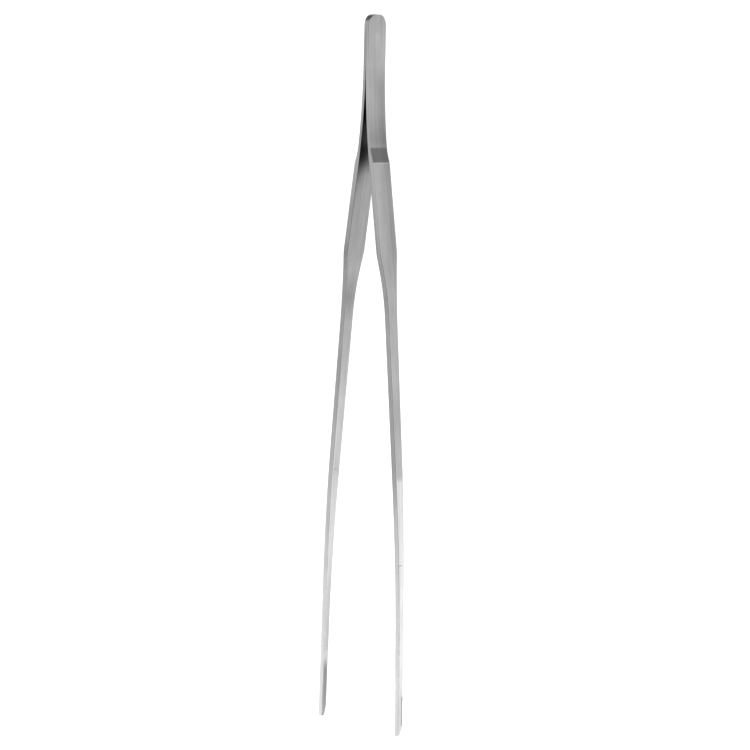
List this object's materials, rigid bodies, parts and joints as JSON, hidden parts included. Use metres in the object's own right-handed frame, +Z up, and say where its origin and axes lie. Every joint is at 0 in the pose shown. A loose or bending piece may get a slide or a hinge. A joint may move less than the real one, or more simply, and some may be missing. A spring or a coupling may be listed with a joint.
{
  "type": "aquascaping tweezers",
  "caption": "Long slender stainless steel tweezers with spring arms, broad grips, toothed tips and a welded tail, for planting in an aquarium.",
  "frame": {"origin": "centre of the tweezers' box, on the surface they lie on: half way along their length, in the seam between the arms, at the height of the lower edges", "axes": "+X from the welded tail to the tips; +Y towards the right arm, which is the way the arms open; +Z up, along the width of the strips, away from the surface"},
  "size_m": [0.27, 0.0398, 0.01],
  "materials": {
    "satin_steel": "satin stainless steel with fine lengthwise grinding lines and softened edges",
    "weld_steel": "slightly brighter, smoother stainless steel where the spot weld was dressed"
  },
  "bodies": {
    "tail": {"left_tail": "satin_steel", "right_tail": "satin_steel", "spot_weld": "weld_steel", "left_spring": "satin_steel", "right_spring": "satin_steel"},
    "left_leg": {"left_leg": "satin_steel"},
    "right_leg": {"right_leg": "satin_steel"}
  },
  "joints": [
    {"name": "left_flex", "type": "hinge", "parent": "tail", "child": "left_leg", "pos_m": [-0.1043, -0.00088, 0.005], "axis": [0, 0, 1], "range_deg": [0, 4.28], "stiffness_Nm_per_rad": 8.5, "deforming": ["left_spring"]},
    {"name": "right_flex", "type": "hinge", "parent": "tail", "child": "right_leg", "pos_m": [-0.1043, 0.00088, 0.005], "axis": [0, 0, -1], "range_deg": [0, 4.28], "stiffness_Nm_per_rad": 8.5, "deforming": ["right_spring"]}
  ],
  "couplings": [
    {"joint": "right_flex", "follows": "left_flex", "ratio": 1}
  ]
}
